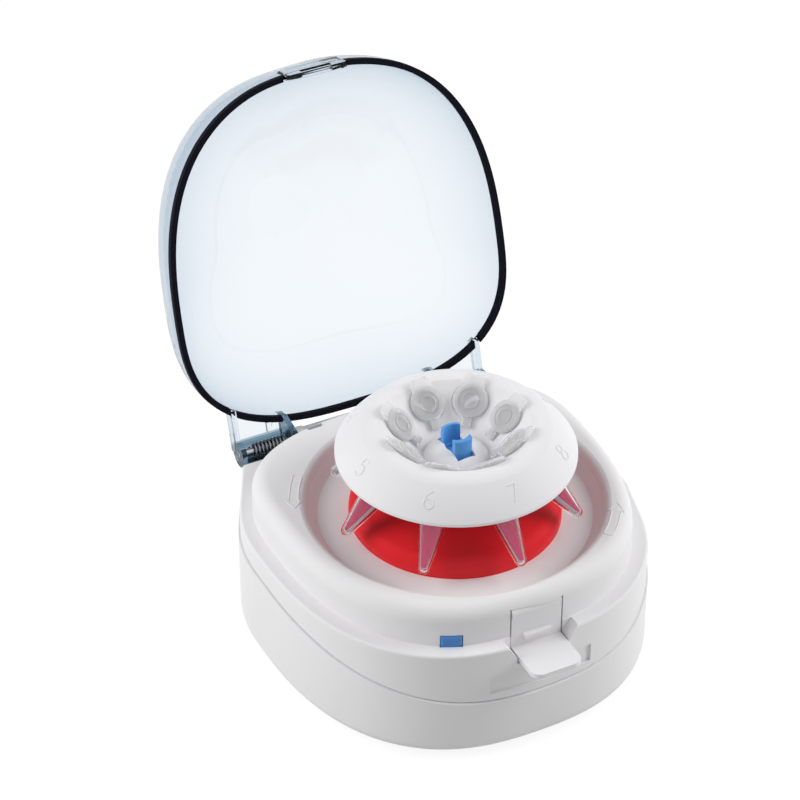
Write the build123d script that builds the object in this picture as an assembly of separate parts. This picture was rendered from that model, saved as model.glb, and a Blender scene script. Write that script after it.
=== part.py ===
from build123d import *
import os
from math import atan2, cos, degrees, pi, radians, sin, tan

os.makedirs("parts", exist_ok=True)

# Mini centrifuge for eight 1.5 ml tubes, lid stored open.
# Millimetres. Z = 0 is the bench, -Y is the front, +Z is up.
# Everything is drawn about the rotor's axis, then saved with the origin at the middle
# of the whole object's bounding box, at bench level.
ORIGIN_Y = 39.4             # how far that middle lies behind the rotor's axis

# Body
BODY_HALF_WIDTH = 72.6
BODY_CENTRE_Y = 20.0
BODY_FRONT_Y = -69.2
BODY_REAR_Y = 83.6
BODY_SHOULDER = 81.2        # distance from the axis to the slanted rear flanks
SHOULDER_ANGLE = 27.1       # heading of those flanks' normal, from +X towards +Y
FLANK_FILLET = 60.0
CORNER_FILLET = 12.0
FRONT_POWER = 2.5           # roundness of the front half of every outline
WALL = 2.4
FOOT_HEIGHT = 2.5
BASE_FLOOR = 2.6
BASE_EDGE_FILLET = 5.0
BASE_PROUD = 0.7            # the base stands this much proud of the upper housing

# Seam between base and upper housing, seen from the side: an arc, then level
SEAM_REAR_Z = 40.4
SEAM_RADIUS = 278.0
SEAM_GAP = 0.5

# Raised deck, ledge and rotor bowl
LEDGE_Z = 49.5
DECK_Z = 65.5
DECK_SHOULDER_FILLET = 6.0
LID_CLEARANCE = 2.3
BOWL_RIM_RADIUS = 55.1
BOWL_LIP_RADIUS = 3.5
BOWL_FLOOR_RADIUS = 51.4
BOWL_FLOOR_Z = 58.5
BOWL_WALL = 2.2

# Red cowl over the motor
COWL_RADIUS = 39.8
COWL_HOLE = 6.0
COWL_SKIRT = 2.0            # upright part of the cowl's edge
COWL_EDGE = 6.14            # radius of the rounding above it
COWL_EDGE_ANGLE = 72.5      # where the rounding passes into the shallow crown
COWL_WALL = 1.6

# Lid
LID_HALF_WIDTH = 69.0
LID_FRONT_LENGTH = 85.7
LID_REAR_LENGTH = 50.0
LID_REAR_POWER = 2.8
LID_RIM_Z = 52.4
LID_DEPTH = 58.0
LID_LIP = 1.0               # the lid's wall stands this far outside the gasket's centreline
LID_CENTRE_Y = 2.15         # the dome's crown is above the middle of its outline
LID_DOME_POWER = 2.08       # 2 would be an ellipse seen from the side
LID_CROWN_ANGLE = 80.0      # the dome is flat inside the last section
LID_WALL = 2.0
GASKET_HEIGHT = 2.4
GASKET_WIDTH = 2.2
OPEN_ANGLE = 106.7
HINGE_Y = 76.65
HINGE_Z = 50.0

# Hinge
ARM_OUTER_X = 54.0
WEDGE_X = 31.2
WEDGE_THICKNESS = 2.2
BARREL_RADIUS = 4.9
BARREL_WALL = 1.1
PIN_RADIUS = 1.5
PIN_CLEARANCE = 0.06
SPRING_COIL_RADIUS = 2.6
SPRING_WIRE_RADIUS = 0.45
SPRING_TURNS = 9

# Rotor
ROTOR_RADIUS = 44.8
ROTOR_RIM_Z = 86.75
CREST_RADIUS = 31.2
CREST_Z = 99.5
HUB_RADIUS = 12.3
HUB_TOP_Z = 89.4
TUBE_COUNT = 8
TUBE_PHASE = 3.0
TUBE_TILT = 43.0
CAP_CENTRE_RADIUS = 20.3
CAP_TOP_Z = 95.25
HOLE_RADIUS = 5.5
SEAT_DEPTH = 2.4

# Sample tube, along its own axis, cap top at 0 and tip at -TUBE_LENGTH
TUBE_LENGTH = 40.0
TUBE_RADIUS = 5.2
TUBE_TIP_RADIUS = 2.2
TUBE_CONE_START = 20.5
TUBE_WALL = 0.9
CAP_RADIUS = 6.6
CAP_THICKNESS = 1.3
FLANGE_RADIUS = 6.2
SAMPLE_LEVEL = 17.0

# Latch
LATCH_HALF_WIDTH = 10.1
SLIT = 0.6
LATCH_PIVOT_Y = -60.6
LATCH_PIVOT_Z = 59.0
LATCH_HEAD_RADIUS = 2.8
LATCH_HEAD_GAP = 0.35
LATCH_PIN_RADIUS = 1.0
LATCH_THICKNESS = 2.2
LIP_TOP_Z = 44.2
LIP_THICKNESS = 2.0
LIP_FRONT_Y = -81.0


def superellipse(a, front, rear, front_power, rear_power, steps=6):
    """Points of a rounded outline about (0, BODY_CENTRE_Y), from the nose round by +X."""
    right = []
    for i in range(steps + 1):
        t = radians(90.0 * i / steps)
        x = a * sin(t) ** (2 / front_power)
        y = -front * cos(t) ** (2 / front_power)
        right.append((x, BODY_CENTRE_Y + y))
    for i in range(1, steps + 1):
        t = radians(90.0 * i / steps)
        x = a * cos(t) ** (2 / rear_power) if i < steps else 0.0
        y = rear * sin(t) ** (2 / rear_power)
        right.append((x, BODY_CENTRE_Y + y))
    left = [(-x, y) for x, y in reversed(right[1:-1])]
    return right + left


def lid_wire(inset, z):
    """Outline of the lid, drawn in by inset, at height z."""
    points = superellipse(
        LID_HALF_WIDTH - inset,
        LID_FRONT_LENGTH - inset,
        LID_REAR_LENGTH - inset,
        FRONT_POWER,
        LID_REAR_POWER,
    )
    return Wire([Edge.make_spline([Vector(x, y, z) for x, y in points], periodic=True)])


def lid_face(inset, z):
    return Face(lid_wire(inset, z))


def body_face(inset, z):
    """Outline of the body: a round front, flanks that draw in, and a flat back."""
    half = BODY_HALF_WIDTH - inset
    front = BODY_CENTRE_Y - BODY_FRONT_Y - inset
    rear = BODY_REAR_Y - inset
    shoulder = BODY_SHOULDER - inset
    nx = cos(radians(SHOULDER_ANGLE))
    ny = sin(radians(SHOULDER_ANGLE))
    flank_y = (shoulder - nx * half) / ny
    corner_x = (shoulder - ny * rear) / nx
    steps = 6
    nose = []
    for i in range(-steps, steps + 1):
        t = radians(90.0 * i / steps)
        sign = 1 if t >= 0 else -1
        x = sign * half * abs(sin(t)) ** (2 / FRONT_POWER)
        y = BODY_CENTRE_Y - front * abs(cos(t)) ** (2 / FRONT_POWER)
        nose.append((x, y))
    nose[0] = (-half, BODY_CENTRE_Y)
    nose[-1] = (half, BODY_CENTRE_Y)
    with BuildSketch(Plane.XY.offset(z)) as sketch:
        with BuildLine():
            Spline(nose, tangents=[(0, -1), (0, 1)])
            Polyline(
                (half, BODY_CENTRE_Y),
                (half, flank_y),
                (corner_x, rear),
                (-corner_x, rear),
                (-half, flank_y),
                (-half, BODY_CENTRE_Y),
            )
        make_face()
        flanks = [v for v in sketch.vertices() if abs(v.Y - flank_y) < 0.01]
        fillet(flanks, FLANK_FILLET)
        corners = [v for v in sketch.vertices() if abs(v.Y - rear) < 0.01]
        fillet(corners, CORNER_FILLET - inset)
    return sketch.sketch


def deck_face(inset, z):
    return lid_face(LID_CLEARANCE + inset, z)


def box_between(low, high):
    """A box from its lowest corner to its highest corner."""
    size = [h - l for l, h in zip(low, high)]
    middle = [(h + l) / 2 for l, h in zip(low, high)]
    return Pos(*middle) * Box(*size)


def revolved(points):
    """A full turn about Z of an outline given as (radius, height) points."""
    face = Plane.XZ * make_face(Polyline(*points, close=True))
    return revolve(face, Axis.Z, 360)


def bar_x(radius, x0, x1, y, z):
    """A round bar along X."""
    return Plane((x0, y, z), z_dir=(1, 0, 0)) * extrude(Circle(radius), x1 - x0)


def open_lid(solid):
    """Turn a piece drawn on the closed lid to the open rest pose."""
    return solid.rotate(Axis((0, HINGE_Y, HINGE_Z), (1, 0, 0)), -OPEN_ANGLE)


whole_low = []
whole_high = []


def save(name, *solids):
    """Write one node, moved so that the origin is the middle of the whole object."""
    moved = [Pos(0, -ORIGIN_Y, 0) * s for s in solids]
    shape = moved[0] if len(moved) == 1 else Compound(children=moved)
    export_step(shape, f"parts/{name}.step")
    bounds = shape.bounding_box()
    whole_low.append((bounds.min.X, bounds.min.Y, bounds.min.Z))
    whole_high.append((bounds.max.X, bounds.max.Y, bounds.max.Z))
    print(name, round(sum(s.volume for s in solids)), "mm3")


def region_above_seam(offset):
    """Everything above the seam, moved up by offset, as one tall block."""
    front = BODY_FRONT_Y - 12
    drop = (BODY_CENTRE_Y - front) ** 2 / (2 * SEAM_RADIUS)
    middle = (front + BODY_CENTRE_Y) / 2
    middle_drop = (BODY_CENTRE_Y - middle) ** 2 / (2 * SEAM_RADIUS)
    top = DECK_Z + 60
    z = SEAM_REAR_Z + offset
    with BuildSketch(Plane.YZ) as sketch:
        with BuildLine():
            ThreePointArc((front, z - drop), (middle, z - middle_drop), (BODY_CENTRE_Y, z))
            Polyline(
                (BODY_CENTRE_Y, z), (BODY_REAR_Y + 12, z), (BODY_REAR_Y + 12, top),
                (front, top), (front, z - drop),
            )
        make_face()
    return extrude(sketch.sketch, BODY_HALF_WIDTH + 12, both=True)


# Base shell: floor, walls with a rounded bottom edge, posts and rear wall openings
BASE_BOTTOM = FOOT_HEIGHT
FLOOR_TOP = BASE_BOTTOM + BASE_FLOOR
MOTOR_POSTS = [(30 * cos(radians(a)), 30 * sin(radians(a))) for a in (90, 210, 330)]
SCREW_POSTS = [(-50, -32), (50, -32), (-50, 52), (50, 52)]
FOOT_PLACES = [(-40, -44), (40, -44), (-42, 64), (42, 64)]
JACK_X = 24.0
JACK_Z = 20.0
POST_TOP = 24.0

base = extrude(body_face(-BASE_PROUD, BASE_BOTTOM), SEAM_REAR_Z + 2)
base = fillet(base.edges().group_by(Axis.Z)[0], BASE_EDGE_FILLET)
base -= region_above_seam(-SEAM_GAP)
base -= extrude(body_face(WALL, FLOOR_TOP), SEAM_REAR_Z + 10)
for px, py in SCREW_POSTS:
    base += Pos(px, py, FLOOR_TOP - 0.5) * Cylinder(3.6, 22, align=(Align.CENTER, Align.CENTER, Align.MIN))
for px, py in MOTOR_POSTS:
    base += Pos(px, py, FLOOR_TOP - 0.5) * Cylinder(4.5, POST_TOP - FLOOR_TOP + 0.5,
                                                    align=(Align.CENTER, Align.CENTER, Align.MIN))
for px, py in SCREW_POSTS:
    base -= Pos(px, py, BASE_BOTTOM - 1) * Cylinder(1.6, 40, align=(Align.CENTER, Align.CENTER, Align.MIN))
    base -= Pos(px, py, BASE_BOTTOM - 1) * Cylinder(3.0, 3.0, align=(Align.CENTER, Align.CENTER, Align.MIN))
for i in range(-3, 4):
    slot = box_between((i * 7 - 1.5, -14, BASE_BOTTOM - 1), (i * 7 + 1.5, 14, FLOOR_TOP + 1))
    base -= fillet(slot.edges().filter_by(Axis.Z), 1.4)
base -= Plane((JACK_X, BODY_REAR_Y - 8, JACK_Z), z_dir=(0, 1, 0)) * extrude(Circle(4.6), 16)

# Upper housing: band down to the seam, ledge for the lid, raised deck with the bowl
upper_solid = extrude(body_face(0, 20), LEDGE_Z - 20)
upper_solid = fillet(upper_solid.edges().group_by(Axis.Z)[-1], 1.0)
plug = extrude(deck_face(0, LEDGE_Z - 3), DECK_Z - LEDGE_Z + 3)
plug = fillet(plug.edges().group_by(Axis.Z)[-1], DECK_SHOULDER_FILLET)
upper_solid += plug
hollow = extrude(body_face(WALL, 10), LEDGE_Z - WALL - 10)
inner_plug = extrude(deck_face(WALL, LEDGE_Z - 6), DECK_Z - WALL - LEDGE_Z + 6)
inner_plug = fillet(inner_plug.edges().group_by(Axis.Z)[-1], DECK_SHOULDER_FILLET - WALL)
housing = upper_solid - hollow - inner_plug
lip_outer = BOWL_RIM_RADIUS + BOWL_LIP_RADIUS
housing -= Pos(0, 0, LEDGE_Z) * Cylinder(lip_outer - 0.5, 30, align=(Align.CENTER, Align.CENTER, Align.MIN))
with BuildSketch(Plane.XZ) as bowl_section:
    with BuildLine():
        lip_z = DECK_Z - BOWL_LIP_RADIUS
        floor_z = BOWL_FLOOR_Z
        Polyline((lip_outer + 2.4, DECK_Z), (lip_outer, DECK_Z))
        lip_mid = BOWL_LIP_RADIUS * cos(radians(45))
        ThreePointArc(
            (lip_outer, DECK_Z),
            (lip_outer - lip_mid, lip_z + lip_mid),
            (BOWL_RIM_RADIUS, lip_z),
        )
        Polyline(
            (BOWL_RIM_RADIUS, lip_z),
            (BOWL_FLOOR_RADIUS + 1.4, floor_z + 1.0),
            (BOWL_FLOOR_RADIUS, floor_z),
            (COWL_RADIUS - 3.5, floor_z),
            (COWL_RADIUS - 3.5, floor_z - BOWL_WALL),
            (BOWL_FLOOR_RADIUS + 2.6, floor_z - BOWL_WALL),
            (BOWL_RIM_RADIUS + BOWL_WALL, lip_z - 1.2),
            (BOWL_RIM_RADIUS + BOWL_WALL, DECK_Z - WALL),
            (lip_outer + 2.4, DECK_Z - WALL),
            (lip_outer + 2.4, DECK_Z),
        )
    make_face()
bowl = revolve(bowl_section.sketch, Axis.Z, 360)
housing += bowl & upper_solid
housing = housing & region_above_seam(0)

# Lid switch slits, rear strip slots and the barrel pockets at the back
SLIT_HALF = WEDGE_THICKNESS / 2 + 0.7
WEDGE_MID_X = WEDGE_X + WEDGE_THICKNESS / 2
for side in (-1, 1):
    x_mid = side * WEDGE_MID_X
    housing -= box_between((x_mid - SLIT_HALF, 62.6, 36), (x_mid + SLIT_HALF, 90, 62.4))
    housing -= box_between((side * 28 - 3.2, 60.7, 60), (side * 28 + 3.2, 63.3, 70))
    pocket_in = WEDGE_X - 0.6
    pocket_out = ARM_OUTER_X + 6
    x_low = min(side * pocket_in, side * pocket_out)
    x_high = max(side * pocket_in, side * pocket_out)
    housing -= box_between((x_low, HINGE_Y - BARREL_RADIUS - 1.0, HINGE_Z - BARREL_RADIUS - 1.0),
                           (x_high, BODY_REAR_Y + 5, LEDGE_Z + 20))
    tray = box_between((x_low, HINGE_Y - BARREL_RADIUS - 2.6, HINGE_Z - BARREL_RADIUS - 3.0),
                       (x_high, BODY_REAR_Y + 5, HINGE_Z - BARREL_RADIUS - 1.0))
    tray += box_between((x_low, HINGE_Y - BARREL_RADIUS - 2.6, HINGE_Z - BARREL_RADIUS - 3.0),
                        (x_high, HINGE_Y - BARREL_RADIUS - 1.0, LEDGE_Z - 0.5))
    x_slit_low = x_mid - SLIT_HALF
    x_slit_high = x_mid + SLIT_HALF
    tray -= box_between((x_slit_low, 60, 36), (x_slit_high, 90, 62))
    housing += tray & upper_solid
    # Lug that carries the hinge pin, on the inner side of the arm
    lug_in = WEDGE_X - 5.0
    lug = bar_x(4.2, lug_in, WEDGE_X - 0.6, HINGE_Y, HINGE_Z)
    lug += box_between((lug_in, HINGE_Y - 4.2, LEDGE_Z - WALL), (WEDGE_X - 0.6, HINGE_Y + 4.2, HINGE_Z))
    lug -= bar_x(PIN_RADIUS, lug_in + 1, WEDGE_X, HINGE_Y, HINGE_Z)
    housing += lug if side > 0 else mirror(lug, Plane.YZ)
    bore = bar_x(PIN_RADIUS, lug_in + 1, WEDGE_X, HINGE_Y, HINGE_Z)
    housing -= bore if side > 0 else mirror(bore, Plane.YZ)

# Latch bay in the front wall, with a notch through the ledge and a shallow recess below it
BAY_HALF = LATCH_HALF_WIDTH + SLIT
BAY_REAR_Y = -58.4
NOTCH_HALF = 14.4
NOTCH_DEPTH = 5.5
NOTCH_FLOOR = 41.0
deck_front_y = BODY_CENTRE_Y - LID_FRONT_LENGTH + LID_CLEARANCE
block = box_between((-NOTCH_HALF - 4, -90, NOTCH_FLOOR - 2.5),
                    (NOTCH_HALF + 4, deck_front_y + LATCH_THICKNESS, LEDGE_Z))
housing += block & upper_solid
for side in (-1, 1):
    cheek_x = side * (BAY_HALF + 1.3)
    cheek = box_between((cheek_x - 1.2, -64.0, 55.5), (cheek_x + 1.2, -58.0, 63.5))
    housing += cheek & upper_solid
housing -= box_between((-BAY_HALF, -90, NOTCH_FLOOR), (BAY_HALF, BAY_REAR_Y, LATCH_PIVOT_Z))
housing -= bar_x(LATCH_HEAD_RADIUS + LATCH_HEAD_GAP, -BAY_HALF, BAY_HALF, LATCH_PIVOT_Y, LATCH_PIVOT_Z)
with BuildSketch(Plane.XZ.offset(90)) as notch:
    with BuildLine():
        Polyline(
            (-NOTCH_HALF, LEDGE_Z), (-NOTCH_HALF, LEDGE_Z + 0.2), (NOTCH_HALF, LEDGE_Z + 0.2),
            (NOTCH_HALF, LEDGE_Z), (BAY_HALF, LEDGE_Z - NOTCH_DEPTH), (BAY_HALF, NOTCH_FLOOR),
            (-BAY_HALF, NOTCH_FLOOR), (-BAY_HALF, LEDGE_Z - NOTCH_DEPTH), close=True,
        )
    make_face()
housing -= extrude(notch.sketch, 90 + deck_front_y, dir=(0, 1, 0))
recess = extrude(body_face(0.9, 29.5), 8.0)
recess_block = box_between((-20.7, -90, 29.5), (20.7, -40, 37.5))
housing -= recess_block - recess
housing -= bar_x(LATCH_PIN_RADIUS + 0.02, -BAY_HALF - 3, BAY_HALF + 3, LATCH_PIVOT_Y, LATCH_PIVOT_Z)

# Indicator lens at the foot of the raised wall
LENS_X = -30.79
LENS_Y = -55.67
LENS_Z = 50.9
LENS_HEADING = degrees(atan2(-0.91, -0.415))
lens_place = Pos(LENS_X, LENS_Y, LENS_Z) * Rot(0, 0, LENS_HEADING)
lens = Box(6.0, 8.0, 6.6)
lens = fillet(lens.edges().group_by(Axis.X)[-1], 1.2)
lens_pocket = Box(6.2, 8.3, 6.9)
housing -= lens_place * lens_pocket
lens = lens_place * lens
led = lens_place * (Pos(-6.4, 0, 0) * Box(3.0, 5.0, 3.0))

save("base_shell", base)
save("upper_housing", housing)
save("indicator_lens", lens)
save("indicator_led", led)

# Feet and base screws
feet = []
for px, py in FOOT_PLACES:
    foot = Cylinder(6.0, FOOT_HEIGHT, align=(Align.CENTER, Align.CENTER, Align.MIN))
    foot = chamfer(foot.edges().group_by(Axis.Z)[0], 0.6)
    feet.append(Pos(px, py, 0) * foot)
save("rubber_feet", *feet)
screws = []
for px, py in SCREW_POSTS:
    head = Pos(px, py, BASE_BOTTOM + 0.2) * Cylinder(2.8, 1.7, align=(Align.CENTER, Align.CENTER, Align.MIN))
    shank = Pos(px, py, BASE_BOTTOM + 1.8) * Cylinder(1.45, 18, align=(Align.CENTER, Align.CENTER, Align.MIN))
    cross = box_between((px - 1.6, py - 0.3, BASE_BOTTOM), (px + 1.6, py + 0.3, BASE_BOTTOM + 1.0))
    cross += box_between((px - 0.3, py - 1.6, BASE_BOTTOM), (px + 0.3, py + 1.6, BASE_BOTTOM + 1.0))
    screws.append(head + shank - cross)
save("base_screws", *screws)

# Motor on its plate, held by three soft dampers
PLATE_Z = POST_TOP + 6.0
PLATE_THICKNESS = 1.6
MOTOR_RADIUS = 18.0
MOTOR_TOP = 54.0
MOTOR_BOTTOM = 9.0
SHAFT_RADIUS = 2.5
plate = Pos(0, 0, PLATE_Z) * Cylinder(36.0, PLATE_THICKNESS, align=(Align.CENTER, Align.CENTER, Align.MIN))
plate -= Pos(0, 0, PLATE_Z - 1) * Cylinder(MOTOR_RADIUS + 0.1, 6, align=(Align.CENTER, Align.CENTER, Align.MIN))
dampers = []
plate_screws = []
for px, py in MOTOR_POSTS:
    plate -= Pos(px, py, PLATE_Z - 1) * Cylinder(1.7, 6, align=(Align.CENTER, Align.CENTER, Align.MIN))
    damper = revolved([(1.7, 0), (4.6, 0), (4.6, 1.8), (3.6, 3.0), (4.6, 4.2), (4.6, 6.0), (1.7, 6.0)])
    dampers.append(Pos(px, py, POST_TOP) * damper)
    screw = Pos(px, py, PLATE_Z + PLATE_THICKNESS) * Cylinder(3.0, 2.0, align=(Align.CENTER, Align.CENTER, Align.MIN))
    screw += Pos(px, py, POST_TOP) * Cylinder(1.4, PLATE_Z + PLATE_THICKNESS - POST_TOP + 0.5,
                                              align=(Align.CENTER, Align.CENTER, Align.MIN))
    plate_screws.append(screw)
save("motor_plate", plate)
save("vibration_dampers", *dampers)
save("plate_screws", *plate_screws)
flange_z = PLATE_Z + PLATE_THICKNESS
can = revolved([
    (4.3, MOTOR_TOP), (4.3, MOTOR_TOP - 1.6), (MOTOR_RADIUS - 1.2, MOTOR_TOP - 1.6),
    (MOTOR_RADIUS - 1.2, MOTOR_BOTTOM + 3), (MOTOR_RADIUS, MOTOR_BOTTOM + 3),
    (MOTOR_RADIUS, flange_z), (MOTOR_RADIUS + 4.5, flange_z), (MOTOR_RADIUS + 4.5, flange_z + 1.4),
    (MOTOR_RADIUS, flange_z + 1.4), (MOTOR_RADIUS, MOTOR_TOP - 1.5), (MOTOR_RADIUS - 1.5, MOTOR_TOP),
])
save("motor_can", can)
end_cap = revolved([
    (0, MOTOR_BOTTOM), (MOTOR_RADIUS - 2, MOTOR_BOTTOM), (MOTOR_RADIUS, MOTOR_BOTTOM + 1.5),
    (MOTOR_RADIUS, MOTOR_BOTTOM + 3), (0, MOTOR_BOTTOM + 3),
])
save("motor_end_cap", end_cap)
bearing = revolved([
    (SHAFT_RADIUS + 0.05, MOTOR_TOP - 1.6), (4.3, MOTOR_TOP - 1.6),
    (4.3, MOTOR_TOP + 1.6), (SHAFT_RADIUS + 0.05, MOTOR_TOP + 1.6),
])
save("shaft_bearing", bearing)

# Cowl: a low dome with a rounded edge and a hole for the shaft
cowl_base = BOWL_FLOOR_Z
cowl_low = cowl_base + COWL_SKIRT
edge_centre = (COWL_RADIUS - COWL_EDGE, cowl_low)
edge_cos = cos(radians(COWL_EDGE_ANGLE))
edge_sin = sin(radians(COWL_EDGE_ANGLE))
crown_radius = (edge_centre[0] + COWL_EDGE * edge_cos - COWL_HOLE) / edge_cos
crown_centre = (COWL_HOLE, cowl_low + (COWL_EDGE - crown_radius) * edge_sin)
cowl_top = crown_centre[1] + crown_radius
with BuildSketch(Plane.XZ) as cowl_section:
    with BuildLine():
        Line((COWL_RADIUS, cowl_base), (COWL_RADIUS, cowl_low))
        CenterArc(edge_centre, COWL_EDGE, 0, COWL_EDGE_ANGLE)
        CenterArc(crown_centre, crown_radius, COWL_EDGE_ANGLE, 90 - COWL_EDGE_ANGLE)
        Line((COWL_HOLE, cowl_top), (COWL_HOLE, cowl_top - COWL_WALL))
        CenterArc(crown_centre, crown_radius - COWL_WALL, COWL_EDGE_ANGLE, 90 - COWL_EDGE_ANGLE)
        CenterArc(edge_centre, COWL_EDGE - COWL_WALL, 0, COWL_EDGE_ANGLE)
        Line((COWL_RADIUS - COWL_WALL, cowl_low), (COWL_RADIUS - COWL_WALL, cowl_base))
        Line((COWL_RADIUS - COWL_WALL, cowl_base), (COWL_RADIUS, cowl_base))
    make_face()
cowl = revolve(cowl_section.sketch, Axis.Z, 360)
save("motor_cowl", cowl)

# Shaft and drive collar, then everything on the rotor
SHAFT_TOP = 86.0
shaft = Pos(0, 0, MOTOR_BOTTOM + 3.6) * Cylinder(SHAFT_RADIUS, SHAFT_TOP - MOTOR_BOTTOM - 3.6,
                                                 align=(Align.CENTER, Align.CENTER, Align.MIN))
shaft = chamfer(shaft.edges().group_by(Axis.Z)[-1], 0.5)
COLLAR_Z = 72.4
collar = revolved([(SHAFT_RADIUS, COLLAR_Z - 2), (4.6, COLLAR_Z - 2), (4.6, COLLAR_Z), (SHAFT_RADIUS, COLLAR_Z)])
save("motor_shaft", shaft)
save("drive_collar", collar)


def tube_frame(index):
    """Where the tube of this index sits: local -Z runs outward and down."""
    turn = Rot(0, 0, TUBE_PHASE + 360.0 * index / TUBE_COUNT)
    lean = Pos(CAP_CENTRE_RADIUS, 0, CAP_TOP_Z) * Rot(0, -TUBE_TILT, 0)
    return turn * lean


slope_r = cos(radians(TUBE_TILT))
slope_z = sin(radians(TUBE_TILT))
seat_r = CAP_CENTRE_RADIUS + SEAT_DEPTH * slope_z
seat_z = CAP_TOP_Z - SEAT_DEPTH * slope_r
hub_edge_z = seat_z - (seat_r - HUB_RADIUS) / slope_r * slope_z
cone_top_r = 27.6
cone_top_z = seat_z + (cone_top_r - seat_r) / slope_r * slope_z
SHOULDER_R = 35.2           # where the crest's rounding passes into the outer flank
SHOULDER_Z = 98.2
HUB_BORE = 4.2
with BuildSketch(Plane.XZ) as rotor_section:
    with BuildLine():
        Line((HUB_BORE, 73.2), (HUB_BORE, HUB_TOP_Z))
        ThreePointArc((HUB_BORE, HUB_TOP_Z), (9.0, HUB_TOP_Z - 1.5), (HUB_RADIUS, hub_edge_z))
        Line((HUB_RADIUS, hub_edge_z), (cone_top_r, cone_top_z))
        ThreePointArc((cone_top_r, cone_top_z), (CREST_RADIUS, CREST_Z), (SHOULDER_R, SHOULDER_Z))
        ThreePointArc((SHOULDER_R, SHOULDER_Z), (40.6, 93.2), (ROTOR_RADIUS, ROTOR_RIM_Z + 1.2))
        Polyline(
            (ROTOR_RADIUS, ROTOR_RIM_Z + 1.2), (ROTOR_RADIUS, ROTOR_RIM_Z),
            (ROTOR_RADIUS - 1.4, ROTOR_RIM_Z), (ROTOR_RADIUS - 3.4, ROTOR_RIM_Z + 1.8),
            (38.4, ROTOR_RIM_Z + 1.8), (27.4, 78.2), (12.0, 76.4), (9.6, 73.2), (HUB_BORE, 73.2),
        )
    make_face()
rotor = revolve(rotor_section.sketch, Axis.Z, 360)
for i in range(TUBE_COUNT):
    hole = Pos(0, 0, -45) * Cylinder(HOLE_RADIUS, 44, align=(Align.CENTER, Align.CENTER, Align.MIN))
    face_cut = Pos(0, 0, -SEAT_DEPTH) * Cylinder(CAP_RADIUS + 0.6, 6,
                                                 align=(Align.CENTER, Align.CENTER, Align.MIN))
    rotor -= tube_frame(i) * (hole + face_cut)
CLIP_HALF_X = 3.7
CLIP_HALF_Y = 7.7
rotor_turn = Rot(0, 0, TUBE_PHASE)
slot_floor = 83.4
rotor -= rotor_turn * box_between((-CLIP_HALF_X, -CLIP_HALF_Y, slot_floor), (CLIP_HALF_X, CLIP_HALF_Y, 96))
save("rotor", rotor)

# Bush that seats the rotor on the shaft
bush = revolved([
    (SHAFT_RADIUS + 0.05, COLLAR_Z + 0.3), (6.4, COLLAR_Z + 0.3), (6.4, 73.2),
    (HUB_BORE, 73.2), (HUB_BORE, slot_floor), (SHAFT_RADIUS + 0.05, slot_floor),
])
save("rotor_bush", bush)

# Clip: a base in the hub's slot and two curved jaws that pinch together
CLIP_TOP = 95.3
CLIP_BASE_TOP = 86.2
JAW_OUTER_RADIUS = 6.3
JAW_INNER_RADIUS = 4.8
JAW_PIVOT_Y = 5.3
KNUCKLE_RADIUS = 1.1
clip_half_x = CLIP_HALF_X - 0.1
clip = box_between((-clip_half_x, -CLIP_HALF_Y + 0.1, slot_floor), (clip_half_x, CLIP_HALF_Y - 0.1, CLIP_BASE_TOP))
clip -= Pos(0, 0, slot_floor) * Cylinder(SHAFT_RADIUS + 0.3, 20)
for side in (-1, 1):
    clip -= bar_x(KNUCKLE_RADIUS + 0.06, -10, 10, side * JAW_PIVOT_Y, CLIP_BASE_TOP)
clip += box_between((-3.3, -2.6, CLIP_BASE_TOP - 0.4), (-2.3, -1.2, CLIP_BASE_TOP + 3.4))
save("clip_base", rotor_turn * clip)
jaw_low = CLIP_BASE_TOP + 0.6
jaw = revolved([
    (JAW_INNER_RADIUS, jaw_low), (JAW_OUTER_RADIUS, jaw_low), (JAW_OUTER_RADIUS, CLIP_TOP - 0.4),
    (JAW_OUTER_RADIUS - 0.4, CLIP_TOP), (JAW_INNER_RADIUS, CLIP_TOP),
])
jaw = jaw & box_between((-clip_half_x, 0, jaw_low - 1), (clip_half_x, 10, CLIP_TOP + 1))
jaw += bar_x(KNUCKLE_RADIUS, -clip_half_x, clip_half_x, JAW_PIVOT_Y, CLIP_BASE_TOP)
for name, turn in (("clip_jaw_rear", 0), ("clip_jaw_front", 180)):
    save(name, rotor_turn * Rot(0, 0, turn) * jaw)

# Sample tubes: an open body with a flange, and a snap cap on a folded strap
STRAP_HALF = 1.9
STRAP_REACH = 10.1
TAB_REACH = 10.1
TAB_HALF = 4.1
bore = TUBE_RADIUS - TUBE_WALL
bottom = -TUBE_LENGTH
TIP_CENTRE = bottom + TUBE_TIP_RADIUS
CONE_ANGLE = atan2(TUBE_RADIUS - TUBE_TIP_RADIUS, -TIP_CENTRE - TUBE_CONE_START)


def tip_point(radius, angle):
    """A point of the round tip, this far below the level of its centre."""
    return (radius * cos(angle), TIP_CENTRE - radius * sin(angle)) if angle < pi / 2 else (0, TIP_CENTRE - radius)


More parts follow.
